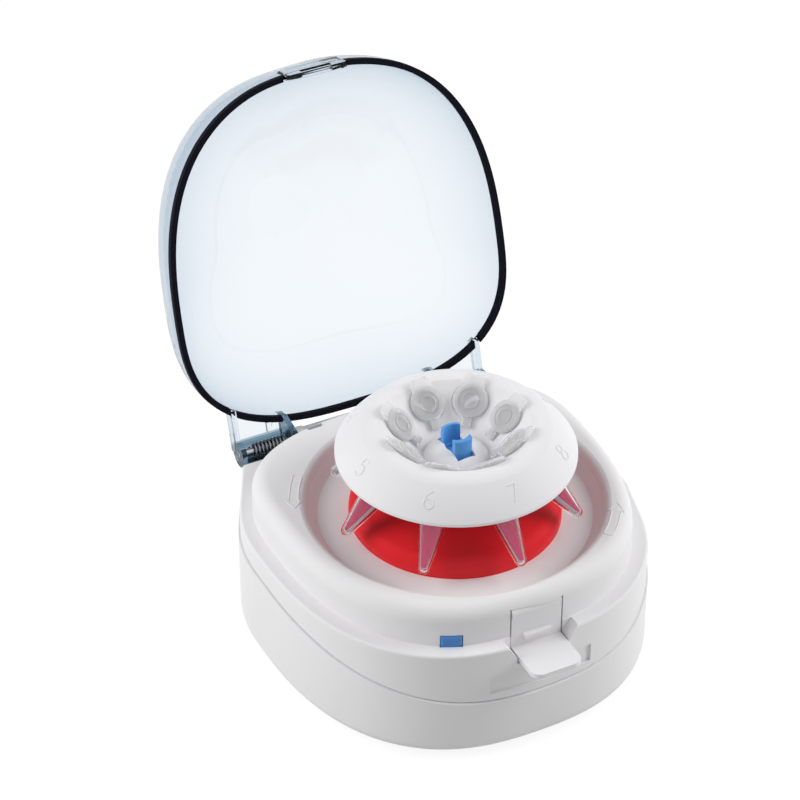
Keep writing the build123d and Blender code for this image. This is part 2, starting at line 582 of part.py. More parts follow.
tip_bore = TUBE_TIP_RADIUS - TUBE_WALL
with BuildSketch(Plane.XZ) as tube_section:
    with BuildLine():
        Polyline(
            (bore, -CAP_THICKNESS), (FLANGE_RADIUS, -CAP_THICKNESS), (FLANGE_RADIUS, -SEAT_DEPTH + 0.05),
            (TUBE_RADIUS, -SEAT_DEPTH + 0.05), (TUBE_RADIUS, -TUBE_CONE_START),
            tip_point(TUBE_TIP_RADIUS, CONE_ANGLE),
        )
        ThreePointArc(
            tip_point(TUBE_TIP_RADIUS, CONE_ANGLE), tip_point(TUBE_TIP_RADIUS, pi / 4), (0, bottom),
        )
        Line((0, bottom), (0, bottom + TUBE_WALL))
        ThreePointArc(
            (0, bottom + TUBE_WALL), tip_point(tip_bore, pi / 4), tip_point(tip_bore, CONE_ANGLE),
        )
        Polyline(tip_point(tip_bore, CONE_ANGLE), (bore, -TUBE_CONE_START), (bore, -CAP_THICKNESS))
    make_face()
tube_body = revolve(tube_section.sketch, Axis.Z, 360)
tube_body += box_between((-STRAP_REACH, -STRAP_HALF, -CAP_THICKNESS - 0.6), (-5.6, STRAP_HALF, -CAP_THICKNESS - 0.1))
cap = revolved([
    (0, -0.45), (2.6, -0.45), (2.6, 0), (3.2, 0), (3.2, -0.45), (4.4, -0.45), (4.4, 0),
    (CAP_RADIUS - 0.2, 0), (CAP_RADIUS, -0.2), (CAP_RADIUS, -CAP_THICKNESS), (0, -CAP_THICKNESS),
])
tab = box_between((5.0, -TAB_HALF, -1.15), (TAB_REACH, TAB_HALF, -0.25))
cap += fillet(tab.edges().filter_by(Axis.Z).group_by(Axis.X)[-1], 2.6)
cap += box_between((-STRAP_REACH, -STRAP_HALF, -1.1), (-5.6, STRAP_HALF, -0.5))
cap += box_between((-STRAP_REACH, -STRAP_HALF, -CAP_THICKNESS - 0.1), (-STRAP_REACH + 0.7, STRAP_HALF, -0.5))


def bore_radius(depth):
    """Inner radius of the tube at a depth below the cap's top."""
    if depth <= TUBE_CONE_START:
        return TUBE_RADIUS - TUBE_WALL
    low = TUBE_LENGTH - 2.2
    share = (depth - TUBE_CONE_START) / (low - TUBE_CONE_START)
    return (TUBE_RADIUS - TUBE_WALL) * (1 - share) + (TUBE_TIP_RADIUS - TUBE_WALL) * share


GAP = 0.05
sample = revolved([
    (0, -SAMPLE_LEVEL + 6), (bore_radius(14) - GAP, -SAMPLE_LEVEL + 6),
    (bore_radius(TUBE_CONE_START) - GAP, -TUBE_CONE_START),
    (bore_radius(TUBE_LENGTH - 2.4) - GAP, -TUBE_LENGTH + 2.4),
    (0, -TUBE_LENGTH + 1.5),
])
surface_cut = Pos(0, 0, -SAMPLE_LEVEL) * Rot(0, TUBE_TILT, 0) * Pos(0, 0, 15) * Box(60, 60, 30)
sample -= surface_cut
for i in range(TUBE_COUNT):
    save(f"tube_{i + 1}", tube_frame(i) * tube_body, tube_frame(i) * cap)
    save(f"sample_{i + 1}", tube_frame(i) * sample)

# Lid: a lofted dome, drawn closed, with its catch, arms and barrels
def dome(wall):
    """Solid inside one skin of the dome, drawn in by wall."""
    rim = superellipse(
        LID_HALF_WIDTH + LID_LIP - wall,
        LID_FRONT_LENGTH + LID_LIP - wall,
        LID_REAR_LENGTH + LID_LIP - wall,
        FRONT_POWER,
        LID_REAR_POWER,
    )
    sections = []
    for i in range(DOME_STEPS + 1):
        angle = radians(LID_CROWN_ANGLE * i / DOME_STEPS)
        share = cos(angle) ** (2 / LID_DOME_POWER)
        z = LID_RIM_Z + (LID_DEPTH - wall) * sin(angle) ** (2 / LID_DOME_POWER)
        points = [Vector(x * share, LID_CENTRE_Y + (y - LID_CENTRE_Y) * share, z) for x, y in rim]
        sections.append(Wire([Edge.make_spline(points, periodic=True)]))
    return Solid.make_loft(sections, ruled=False)


DOME_STEPS = 8
lid_inside = dome(LID_WALL)
lid = dome(0) - lid_inside
CATCH_HALF = 12.6
CATCH_Y = -64.5
catch = box_between((-CATCH_HALF, CATCH_Y - 2.3, 46.4), (CATCH_HALF, CATCH_Y, LID_RIM_Z + 4))
catch = chamfer(catch.edges().filter_by(Axis.Y).group_by(Axis.Z)[0], 1.2)
catch = fillet(catch.edges().filter_by(Axis.Z).group_by(Axis.Y)[0], 0.8)
catch -= box_between((-6.3, -80, 47.2), (6.3, -60, 50.1))
lid += catch - lid_inside
web_z = LID_RIM_Z
FLANGE_FRONT_Y = 58.6       # the flanges below the rim start behind the raised deck
WEDGE_FRONT_Y = 66.6
RIB_X = 39.6
RIB_FRONT_Y = 67.4
for side in (-1, 1):
    x_out = side * ARM_OUTER_X
    x_flange = side * (ARM_OUTER_X - 2.0)
    x_in = side * (WEDGE_X + WEDGE_THICKNESS)
    x_wedge = side * WEDGE_X
    web = box_between((min(x_out, x_in), 54, web_z), (max(x_out, x_in), HINGE_Y - 2, web_z + 1.8))
    outer = box_between((min(x_out, x_flange), FLANGE_FRONT_Y, web_z - 1.8),
                        (max(x_out, x_flange), HINGE_Y, web_z + 0.2))
    outer += box_between((min(x_out, x_flange), 52, web_z), (max(x_out, x_flange), HINGE_Y, web_z + 4.2))
    inner = box_between((min(x_wedge, x_in), WEDGE_FRONT_Y, web_z - 0.4),
                        (max(x_wedge, x_in), HINGE_Y, web_z + 4.2))
    rib = box_between((side * RIB_X - 0.6, RIB_FRONT_Y, web_z - 1.4), (side * RIB_X + 0.6, HINGE_Y - 5.2, web_z + 0.2))
    mark = Pos(side * (RIB_X - 3.2), HINGE_Y - 7.0, web_z) * Cylinder(1.5, 0.6)
    arm = web + outer + inner + rib + mark
    flange_disc = bar_x(BARREL_RADIUS, min(x_out, x_flange), max(x_out, x_flange), HINGE_Y, HINGE_Z)
    wedge_disc = bar_x(BARREL_RADIUS, min(x_wedge, x_in), max(x_wedge, x_in), HINGE_Y, HINGE_Z)
    with BuildSketch(Plane.YZ.offset(min(x_wedge, x_in))) as finger_side:
        with BuildLine():
            Polyline(
                (WEDGE_FRONT_Y, web_z), (WEDGE_FRONT_Y + 0.4, web_z - 2.0), (HINGE_Y - 4.0, HINGE_Z - 10.6),
                (HINGE_Y - 3.0, HINGE_Z - 11.4), (HINGE_Y - 1.4, HINGE_Z - 11.0),
                (HINGE_Y + 4.6, HINGE_Z - 1), (HINGE_Y + 3, HINGE_Z + 4), close=True,
            )
        make_face()
    finger = extrude(finger_side.sketch, WEDGE_THICKNESS, dir=(1, 0, 0))
    barrel = bar_x(BARREL_RADIUS, min(x_flange, x_in), max(x_flange, x_in), HINGE_Y, HINGE_Z)
    barrel -= bar_x(BARREL_RADIUS - BARREL_WALL, min(x_flange, x_in), max(x_flange, x_in), HINGE_Y, HINGE_Z)
    mouth = box_between((-80, HINGE_Y - 12, HINGE_Z - 12), (80, HINGE_Y, HINGE_Z + 1.0))
    barrel -= mouth
    arm = arm + flange_disc + wedge_disc + finger + barrel
    arm -= bar_x(PIN_RADIUS + PIN_CLEARANCE, -60, 60, HINGE_Y, HINGE_Z)
    chamber = bar_x(BARREL_RADIUS - BARREL_WALL, min(x_flange, x_in), max(x_flange, x_in), HINGE_Y, HINGE_Z)
    arm -= chamber
    lid += arm - lid_inside
save("lid_shell", open_lid(lid))

gasket_bottom = LID_RIM_Z - GASKET_HEIGHT
gasket = extrude(lid_face(-1.0, gasket_bottom), GASKET_HEIGHT - 0.02)
gasket -= extrude(lid_face(-1.0 + GASKET_WIDTH, gasket_bottom - 1), GASKET_HEIGHT + 2)
gasket -= box_between((-CATCH_HALF - 0.3, -90, 40), (CATCH_HALF + 0.3, -60, 60))
for side in (-1, 1):
    for low, high in ((ARM_OUTER_X - 2.3, ARM_OUTER_X + 0.3), (WEDGE_X - 0.3, WEDGE_X + WEDGE_THICKNESS + 0.3)):
        x_low = min(side * low, side * high)
        x_high = max(side * low, side * high)
        gasket -= box_between((x_low, 45, 40), (x_high, 90, 60))
save("lid_gasket", *[open_lid(s) for s in gasket.solids()])

# Hinge pins and torsion springs
pins = []
for side in (-1, 1):
    x0 = side * (WEDGE_X - 3.8)
    x1 = side * (ARM_OUTER_X - 0.4)
    pins.append(bar_x(PIN_RADIUS, min(x0, x1), max(x0, x1), HINGE_Y, HINGE_Z))
save("hinge_pins", *pins)


def coil(x_start, x_end, axis_point, radius, wire, turns):
    """A helix along X as arcs of a quarter turn, swept into one tube."""
    steps = turns * 8
    path = []
    for k in range(steps + 1):
        a = 2 * pi * k / 8
        x = x_start + (x_end - x_start) * k / steps
        path.append((x, axis_point[1] + radius * cos(a), axis_point[2] + radius * sin(a)))
    with BuildLine() as line:
        for k in range(0, steps, 2):
            ThreePointArc(path[k], path[k + 1], path[k + 2])
    start = line.line @ 0
    heading = line.line % 0
    ring = Plane(start, z_dir=heading) * Circle(wire)
    pitch = abs(x_end - x_start) / turns
    print("coil pitch", round(pitch, 2), "least gap", round(pitch - 2 * wire, 2))
    return sweep(ring, path=line.line, transition=Transition.TRANSFORMED)


spring_in = WEDGE_X + WEDGE_THICKNESS + 1.2
spring_out = spring_in + 13.6
springs = []
for side in (-1, 1):
    springs.append(coil(side * spring_in, side * spring_out, (0, HINGE_Y, HINGE_Z),
                        SPRING_COIL_RADIUS, SPRING_WIRE_RADIUS, SPRING_TURNS))
save("hinge_springs", *springs)

# Latch lever, its pin and its return spring
SPRING_BAY_HALF = 2.8
SPRING_BAY_RADIUS = 2.15
lip_low = LIP_TOP_Z - LIP_THICKNESS
tongue = box_between((-LATCH_HALF_WIDTH, -70, lip_low),
                     (LATCH_HALF_WIDTH, deck_front_y + LATCH_THICKNESS, LATCH_PIVOT_Z))
latch = tongue & extrude(deck_face(0, lip_low - 1), DECK_Z - lip_low)
latch += bar_x(LATCH_HEAD_RADIUS, -LATCH_HALF_WIDTH, LATCH_HALF_WIDTH, LATCH_PIVOT_Y, LATCH_PIVOT_Z)
lip = box_between((-LATCH_HALF_WIDTH, LIP_FRONT_Y, lip_low), (LATCH_HALF_WIDTH, deck_front_y + 1, LIP_TOP_Z))
lip = fillet(lip.edges().filter_by(Axis.Z).group_by(Axis.Y)[0], 4.0)
latch += lip
latch += box_between((-5.5, deck_front_y - 1.7, 47.9), (5.5, deck_front_y + 0.5, 49.5))
latch -= bar_x(LATCH_PIN_RADIUS + 0.04, -20, 20, LATCH_PIVOT_Y, LATCH_PIVOT_Z)
latch -= bar_x(SPRING_BAY_RADIUS, -SPRING_BAY_HALF, SPRING_BAY_HALF, LATCH_PIVOT_Y, LATCH_PIVOT_Z)
latch -= box_between((-SPRING_BAY_HALF, LATCH_PIVOT_Y, LATCH_PIVOT_Z - SPRING_BAY_RADIUS),
                     (SPRING_BAY_HALF, -56, LATCH_PIVOT_Z + SPRING_BAY_RADIUS))
save("latch_lever", latch)
save("latch_pin", bar_x(LATCH_PIN_RADIUS, -BAY_HALF - 2.2, BAY_HALF + 2.2, LATCH_PIVOT_Y, LATCH_PIVOT_Z))
save("latch_spring", coil(-2.3, 2.3, (0, LATCH_PIVOT_Y, LATCH_PIVOT_Z), 1.6, 0.3, 4))

# Electrics: board, lid switch and power jack
board = box_between((-30, 62, 14), (14, 63.6, 34))
save("circuit_board", board)
chip = box_between((-22, 60.2, 20), (-10, 62, 28))
cap_can = Plane((4, 62, 24), z_dir=(0, -1, 0)) * extrude(Circle(4), 9)
save("board_parts", chip, cap_can)
jack = box_between((JACK_X - 4.5, 69, JACK_Z - 5.5), (JACK_X + 4.5, BODY_REAR_Y - WALL, JACK_Z + 5.5))
jack += Plane((JACK_X, BODY_REAR_Y - WALL - 0.5, JACK_Z), z_dir=(0, 1, 0)) * extrude(Circle(4.4), WALL + 0.7)
jack -= Plane((JACK_X, 72, JACK_Z), z_dir=(0, 1, 0)) * extrude(Circle(2.8), 20)
jack += Plane((JACK_X, 71, JACK_Z), z_dir=(0, 1, 0)) * extrude(Circle(1.0), 11)
save("power_jack", jack)
switch = box_between((-WEDGE_MID_X - 3.2, 66, 28), (-WEDGE_MID_X + 3.2, 79, 35.6))
switch += box_between((-WEDGE_MID_X - 1.2, 71, 35.6), (-WEDGE_MID_X + 1.2, 74.0, 36.8))
save("lid_switch", switch)

lowest = [round(min(p[k] for p in whole_low), 2) for k in range(3)]
highest = [round(max(p[k] for p in whole_high), 2) for k in range(3)]
print("whole object from", lowest, "to", highest)
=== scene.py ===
"""Finishes, markings and stage for a mini centrifuge with a clear lid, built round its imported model."""

from math import cos, pi, radians, sin

import bmesh
import bpy
from bpy.props import FloatProperty, FloatVectorProperty, PointerProperty
from bpy.types import Operator, Panel, PropertyGroup
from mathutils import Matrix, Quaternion, Vector
from mathutils.bvhtree import BVHTree


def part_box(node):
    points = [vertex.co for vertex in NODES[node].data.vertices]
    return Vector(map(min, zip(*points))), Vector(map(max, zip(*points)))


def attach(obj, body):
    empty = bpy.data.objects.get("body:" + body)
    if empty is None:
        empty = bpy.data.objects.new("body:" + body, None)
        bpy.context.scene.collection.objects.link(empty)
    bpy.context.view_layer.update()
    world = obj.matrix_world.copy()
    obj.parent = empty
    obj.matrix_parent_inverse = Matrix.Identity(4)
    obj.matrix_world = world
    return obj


bl_info = {
    "name": "Mini centrifuge",
    "version": (1, 0, 0),
    "blender": (4, 5, 0),
    "location": "View3D > Sidebar > Centrifuge",
    "description": "Finishes, raised markings and stage for a mini centrifuge",
    "category": "Object",
}

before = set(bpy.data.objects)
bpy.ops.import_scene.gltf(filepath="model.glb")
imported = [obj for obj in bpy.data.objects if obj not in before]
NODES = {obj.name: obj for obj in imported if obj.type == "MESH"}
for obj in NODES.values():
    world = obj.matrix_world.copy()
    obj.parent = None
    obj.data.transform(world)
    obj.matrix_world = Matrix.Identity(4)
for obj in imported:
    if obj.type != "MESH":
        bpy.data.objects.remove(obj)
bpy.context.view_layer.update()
MM = 0.001

# The rotor's axis, which the markings, the lamps and the camera are placed by
SHAFT_LOW, SHAFT_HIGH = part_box("motor_shaft")
AXIS = Vector(((SHAFT_LOW[0] + SHAFT_HIGH[0]) / 2, (SHAFT_LOW[1] + SHAFT_HIGH[1]) / 2, 0.0))
TUBE_COUNT = 8
TUBE_PHASE = radians(3.0)

# Where a tube's axis meets its cap, how far the tube leans, and where its milky collar ends below
CAP_RADIUS = 20.3 * MM
CAP_Z = 95.25 * MM
TUBE_LEAN = radians(43.0)
CAP_DEPTH = 4.5 * MM

# The dye of a sample ends this far above the middle of its tube, and is blue in three of them
DYE_EDGE = 0.9 * MM
BLUE_SAMPLES = (2, 3, 4)

# The lid's hinge axis, how far its knuckles reach from it, and the webs beside them, where painted shade
# darkens the lid
PIN_LOW, PIN_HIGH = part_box("hinge_pins")
HINGE = (Vector(PIN_LOW) + Vector(PIN_HIGH)) / 2
HINGE_REACH = 5.6 * MM
GUSSET_IN = 30.9 * MM
GUSSET_OUT = 33.7 * MM
GUSSET_REACH = 12.0 * MM

# The open lid rises at this angle from its hinge, and its catch starts this far up, where painted shade
# darkens the lid too
LID_RISE = radians(73.3)
CATCH_REACH = 143.6 * MM

# How fast the lid's plastic takes up light, per metre, and how the darkening where it is seen on end
# gathers: partly its tint, partly painted reflection of dark surroundings
LID_DENSITY = 75.0
LID_BLEND = 0.35
LID_FALL = 1.25

# How strongly each material bends light
MOULDED_IOR = 1.5
LID_IOR = 1.32
TUBE_IOR = 1.3
CAP_IOR = 1.35
SAMPLE_IOR = 1.33

# The floor, a hair under the feet so that the two don't share a plane, and its glow over the shadow
FLOOR_HALF = 3.0
FLOOR_DROP = -0.15 * MM
FLOOR_SHARE = 0.7
FLOOR_GLOW = 1.26

# The studio: even light from all round, and a lamp at either side
WORLD_LEVEL = 0.38
LAMP_SIZE = 0.8
LAMP_OFFSET = Vector((0.9, -0.3, 0.62))
LAMP_AIM = 60.0 * MM
RIGHT_SHARE = 1.05
WHITE = (1.0, 1.0, 1.0, 1.0)
SEEN_RAYS = ("Is Camera Ray", "Is Glossy Ray", "Is Transmission Ray")

# The width of the camera's film in mm, and the nearest and farthest that it sees in metres
SENSOR = 36.0
CLIP_NEAR = 0.05
CLIP_FAR = 20.0


# Shader maths and the one method that makes nodes

class Signal:
    """A shader socket that can be written in sums and products."""

    def __init__(self, recipe, socket):
        self.recipe = recipe
        self.socket = socket

    def maths(self, operation, first, second=None):
        values = {0: first} if second is None else {0: first, 1: second}
        return self.recipe.node("ShaderNodeMath", {"operation": operation}, values)

    def __add__(self, other):
        return self.maths("ADD", self, other)

    def __radd__(self, other):
        return self.maths("ADD", other, self)

    def __sub__(self, other):
        return self.maths("SUBTRACT", self, other)

    def __rsub__(self, other):
        return self.maths("SUBTRACT", other, self)

    def __mul__(self, other):
        return self.maths("MULTIPLY", self, other)

    def __rmul__(self, other):
        return self.maths("MULTIPLY", other, self)

    def __gt__(self, other):
        return self.maths("GREATER_THAN", self, other)

    def __lt__(self, other):
        return self.maths("LESS_THAN", self, other)

    def __pow__(self, other):
        return self.maths("POWER", self, other)

    def __abs__(self):
        return self.maths("ABSOLUTE", self)


class Recipe:
    """One material, or the world, and the nodes that make it."""

    def __init__(self, name, shelf="materials", ending="ShaderNodeOutputMaterial"):
        self.owner = getattr(bpy.data, shelf).new(name)
        self.owner.use_nodes = True
        self.tree = self.owner.node_tree
        self.tree.nodes.clear()
        self.output = self.tree.nodes.new(ending)

    def feed(self, socket, value):
        if isinstance(value, Signal):
            self.tree.links.new(value.socket, socket)
        elif isinstance(value, (tuple, list)) and socket.type == "RGBA" and len(value) == 3:
            socket.default_value = (*value, 1.0)
        else:
            socket.default_value = value

    def node(self, kind, settings=None, inputs=None, output=0):
        """Any node: its settings first, then its sockets."""
        made = self.tree.nodes.new(kind)
        for key, value in (settings or {}).items():
            setattr(made, key, value)
        for key, value in (inputs or {}).items():
            self.feed(made.inputs[key], value)
        return Signal(self, made.outputs[output])

    def place(self):
        """Object coordinates, in metres."""
        return self.node("ShaderNodeTexCoord", output="Object")

    def split(self, vector):
        """The three numbers of a vector."""
        parts = self.node("ShaderNodeSeparateXYZ", None, {"Vector": vector}).socket.node.outputs
        return [Signal(self, socket) for socket in parts]

    def most(self, first, *others):
        """The largest of several signals."""
        for other in others:
            first = first.maths("MAXIMUM", first, other)
        return first

    def noise(self, scale, detail=3.0, rough=0.5, place=None):
        return self.node("ShaderNodeTexNoise", None, {
            "Vector": place or self.place(), "Scale": scale, "Detail": detail, "Roughness": rough,
        })

    def mix(self, factor, first, second):
        """A colour between two colours."""
        return self.node("ShaderNodeMix", {"data_type": "RGBA"}, {0: factor, 6: first, 7: second}, output=2)

    def between(self, signal, low, high):
        """A 0 to 1 signal stretched over low to high."""
        return signal * (high - low) + low

    def bump(self, height, distance, strength=1.0):
        return self.node("ShaderNodeBump", None, {
            "Strength": strength, "Distance": distance, "Height": height,
        })

    def shader(self, values):
        """A principled shader from its sockets' names, with underscores for spaces."""
        return self.node("ShaderNodeBsdfPrincipled", None, {
            key.replace("_", " "): value for key, value in values.items()
        })

    def blend(self, factor, first, second):
        """A mix of two shaders."""
        return self.node("ShaderNodeMixShader", None, {0: factor, 1: first, 2: second})

    def finish(self, shader, end="Surface"):
        """Lead a shader to the output, and hand back what the recipe makes."""
        self.tree.links.new(shader.socket, self.output.inputs[end])
        return self.owner

    def surface(self, values):
        """The finished material, of one principled shader."""
        return self.finish(self.shader(values))

    def seen(self):
        """1 for what the camera sees, straight, in gloss or through glass."""
        return self.most(*[self.node("ShaderNodeLightPath", output=ray) for ray in SEEN_RAYS])


# Finishes

def moulded(name, colour, roughness, grain=900.0, depth=0.012, shade=0.96, scatter=0.0):
    """Injection-moulded plastic: a faint spark grain, and a tone that drifts with the flow of the mould."""
    r = Recipe(name)
    drift = r.noise(22.0, detail=2.0)
    spark = r.noise(grain, detail=2.0, rough=0.6)
    handled = r.noise(60.0, detail=5.0, rough=0.65)
    darker = tuple(c * shade for c in colour)
    return r.surface({
        "Base_Color": r.mix(drift, darker, colour),
        "Roughness": r.between(handled, roughness - 0.05, roughness + 0.07),
        "IOR": MOULDED_IOR,
        "Subsurface_Weight": scatter,
        "Subsurface_Radius": (0.003, 0.003, 0.003),
        "Subsurface_Scale": 0.4,
        "Normal": r.bump(spark, depth * MM),
    })


def satin_red(colour):
    """Red moulded through, with the slight orange peel of a deep moulding."""
    r = Recipe("cowl_red")
    peel = r.noise(260.0, detail=2.0)
    drift = r.noise(30.0)
    deep = tuple(c * 0.92 for c in colour)
    return r.surface({
        "Base_Color": r.mix(drift, deep, colour),
        "Roughness": r.between(peel, 0.42, 0.52),
        "Specular_IOR_Level": 0.25,
        "Normal": r.bump(peel, 0.015 * MM),
    })


def clear_polycarbonate(tint, edge, thick):
    """Smoke-tinted clear plastic that darkens to its edge colour where the wall is seen on end, partly its
    tint and partly painted reflection of dark surroundings, and with painted shade on its knuckles, webs
    and catch.
    """
    r = Recipe("lid_clear")
    facing = r.node("ShaderNodeLayerWeight", None, {"Blend": LID_BLEND}, output="Facing")
    smudge = r.noise(35.0, detail=6.0, rough=0.7)
    x, y, z = r.split(r.place())
    y = y - HINGE.y
    z = z - HINGE.z
    reach = (y * y + z * z) ** 0.5
    side = abs(x)
    gusset = (side > GUSSET_IN) * (side < GUSSET_OUT) * (reach < GUSSET_REACH)
    catch = y * cos(LID_RISE) + z * sin(LID_RISE) > CATCH_REACH
    # The knuckles, the webs and the catch get painted shade: their tint darkened well past what the plastic
    # absorbs
    thick_parts_shade_mask = r.most(reach < HINGE_REACH, gusset, catch)
    # Darker towards the edge colour where the wall is seen on end: partly the plastic's tint, partly
    # painted reflection of dark surroundings
    dome_tint_and_reflection = r.mix(facing ** LID_FALL, tint, edge)
    # Painted shade: the depth colour dimmed to 0.6 of itself square on and to 0.1 of itself on end
    knuckle_tint_and_shade = r.mix(facing, tuple(c * 0.6 for c in thick), tuple(c * 0.1 for c in thick))
    depth = r.node("ShaderNodeVolumeAbsorption", None, {"Color": thick, "Density": LID_DENSITY})
    r.finish(depth, "Volume")
    return r.surface({
        "Base_Color": r.mix(thick_parts_shade_mask, dome_tint_and_reflection, knuckle_tint_and_shade),
        "Roughness": r.between(smudge, 0.0, 0.05),
        "IOR": LID_IOR,
        "Transmission_Weight": 1.0,
        "Specular_IOR_Level": 0.5,
    })


def frosted(name, colour, roughness):
    """Translucent plastic that blurs what is behind it."""
    r = Recipe(name)
    cloud = r.noise(180.0, detail=4.0)
    return r.surface({
        "Base_Color": r.mix(cloud, tuple(c * 0.97 for c in colour), colour),
        "Roughness": r.between(cloud, roughness - 0.03, roughness + 0.05),
        "IOR": TUBE_IOR,
        "Transmission_Weight": 0.9,
        "Normal": r.bump(cloud, 0.006 * MM),
    })


def tube_place(r):
    """How far a point is up its tube from the cap, and across it towards the upper side."""
    x, y, z = r.split(r.place())
    x = x - AXIS.x
    y = y - AXIS.y
    out = (x * x + y * y) ** 0.5 - CAP_RADIUS
    up = z - CAP_Z
    return up * cos(TUBE_LEAN) - out * sin(TUBE_LEAN), out * cos(TUBE_LEAN) + up * sin(TUBE_LEAN)


def capped_tube(cap, body):
    """Clear tube whose cap and collar are milky, told apart by the distance along the tube."""
    r = Recipe("tube_clear")
    along, _ = tube_place(r)
    cloud = r.noise(180.0, detail=4.0)
    dents = r.bump(cloud, 0.006 * MM)
    clear = r.shader({
        "Base_Color": r.mix(cloud, tuple(c * 0.98 for c in body), body),
        "Roughness": r.between(cloud, 0.03, 0.08),
        "IOR": TUBE_IOR,
        "Transmission_Weight": 1.0,
        "Normal": dents,
    })
    milky = r.shader({
        "Base_Color": r.mix(cloud, tuple(c * 0.96 for c in cap), cap),
        "Roughness": r.between(cloud, 0.3, 0.4),
        "IOR": CAP_IOR,
        "Transmission_Weight": 0.1,
        "Subsurface_Weight": 0.7,
        "Subsurface_Radius": (1.0, 1.0, 1.0),
        "Subsurface_Scale": 4.0 * MM,
        "Alpha": 0.48,
        "Normal": dents,
    })
    return r.finish(r.blend(along > -CAP_DEPTH, clear, milky))


def liquid(name, colour):
    """A dyed sample spun against the upper wall of its tube, with next to no dye on the other side."""
    r = Recipe(name)
    _, across = tube_place(r)
    swirl = r.noise(220.0, detail=3.0)
    water = r.shader({
        "Base_Color": r.mix(swirl, (0.84, 0.87, 0.93), (0.89, 0.92, 0.97)),
        "Roughness": r.between(swirl, 0.08, 0.14),
        "IOR": SAMPLE_IOR,
        "Transmission_Weight": 0.45,
    })
    dye = r.shader({
        "Base_Color": r.mix(swirl, tuple(c * 0.9 for c in colour), colour),
        "Roughness": r.between(swirl, 0.08, 0.14),
        "IOR": SAMPLE_IOR,
        "Transmission_Weight": 0.15,
    })
    return r.finish(r.blend(across > DYE_EDGE, water, dye))


def rubber(name, colour, roughness=0.62, gloss=0.4):
    """Black or grey rubber with a dusty bloom."""
    r = Recipe(name)
    bloom = r.noise(500.0, detail=5.0, rough=0.7)
    return r.surface({
        "Base_Color": r.mix(bloom, colour, tuple(c * 1.3 + 0.002 for c in colour)),
        "Roughness": r.between(bloom, roughness - 0.08, roughness + 0.12),
        "Specular_IOR_Level": gloss,
        "Normal": r.bump(bloom, 0.02 * MM),
    })


def metal(name, colour, roughness, brush=(1.0, 1.0, 1.0)):
    """Bare or plated metal with fine drawn lines along one axis."""
    r = Recipe(name)
    stretched = r.node("ShaderNodeMapping", None, {"Vector": r.place(), "Scale": brush})
    lines = r.noise(1800.0, detail=3.0, rough=0.6, place=stretched)
    return r.surface({
        "Base_Color": r.mix(lines, tuple(c * 0.82 for c in colour), colour),
        "Metallic": 1.0,
        "Roughness": r.between(lines, roughness - 0.06, roughness + 0.1),
        "Normal": r.bump(lines, 0.006 * MM),
    })


def circuit(colour):
    """Green solder mask over tracks that run in steps."""
    r = Recipe("circuit_mask")
    upright = r.node("ShaderNodeMapping", None, {"Vector": r.place(), "Rotation": (radians(90), 0, 0)})
    tracks = r.node("ShaderNodeTexBrick", {"offset": 0.5}, {
        "Vector": upright, "Scale": 160.0, "Mortar Size": 0.04,
        "Color1": (0.0, 0.0, 0.0), "Color2": (0.3, 0.3, 0.3), "Mortar": WHITE,
    }, output="Fac")
    return r.surface({
        "Base_Color": r.mix(tracks, colour, tuple(min(1.0, c * 1.9 + 0.02) for c in colour)),
        "Roughness": r.between(tracks, 0.3, 0.42),
        "Normal": r.bump(tracks, 0.03 * MM),
    })


def give(material, *names):
    """Put a finish on CAD nodes."""
    for name in names:
        node = NODES[name]
        node.data.materials.clear()
        node.data.materials.append(material)


# Geometry helpers

def new_piece(name, mesh, body, material):
    """A finished piece that rides on a body."""
    piece = bpy.data.objects.new(name, mesh)
    bpy.context.scene.collection.objects.link(piece)
    mesh.materials.append(material)
    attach(piece, body)
    return piece


def arc(x, y, across, up, start, end, steps=10):
    """Points of part of an ellipse, by angles in degrees."""
    turns = [radians(start + (end - start) * k / steps) for k in range(steps + 1)]
    return [(x + across * cos(turn), y + up * sin(turn)) for turn in turns]


# Numerals drawn with a single line, one unit tall, about the middle of their foot
STROKES = {
    1: [[(-0.2, 0.78), (0.02, 1.0), (0.02, 0.0)]],
    2: [arc(0.0, 0.72, 0.27, 0.28, 165, -35) + [(-0.29, 0.0), (0.3, 0.0)]],
    3: [arc(-0.02, 0.76, 0.24, 0.24, 150, -80) + arc(-0.02, 0.27, 0.29, 0.27, 80, -150)],
    4: [[(0.12, 0.0), (0.12, 1.0), (-0.3, 0.3), (0.3, 0.3)]],
    5: [[(0.25, 1.0), (-0.18, 1.0), (-0.22, 0.56)] + arc(-0.02, 0.32, 0.28, 0.32, 120, -140)],
    6: [[(0.16, 1.0)] + arc(0.3, 0.36, 0.57, 0.62, 110, 180) + arc(0.0, 0.29, 0.27, 0.29, 180, 540, 16)],
    7: [[(-0.27, 1.0), (0.28, 1.0), (-0.06, 0.0)]],
    8: [arc(0.0, 0.77, 0.21, 0.23, 270, 630, 14), arc(0.0, 0.27, 0.27, 0.27, 90, 450, 16)],
}

# Where the numerals sit on the rotor's outer flank, which way it faces there, and how fine they are cut
FLANK_RADIUS = 39.6 * MM
FLANK_Z = 94.0 * MM
FLANK_OUT = 0.74
FLANK_UP = 0.6726
FLANK_CLEAR = 12.0 * MM
STROKE_STEP = 0.08

# The two arrows on the deck: their tails, their sweep and the half widths of shaft and head
ARROW_TAILS = (radians(142.0), radians(-49.0))
ARROW_SWEEP = radians(18.6)
ARROW_HEAD = radians(4.6)
ARROW_HALF = 1.7 * MM
ARROW_BARB = 3.1 * MM
ARROW_LINE = 0.75
ARROW_SHARES = (0.0, 0.2, 0.4, 0.6, 0.8)
ABOVE_DECK = 90.0 * MM


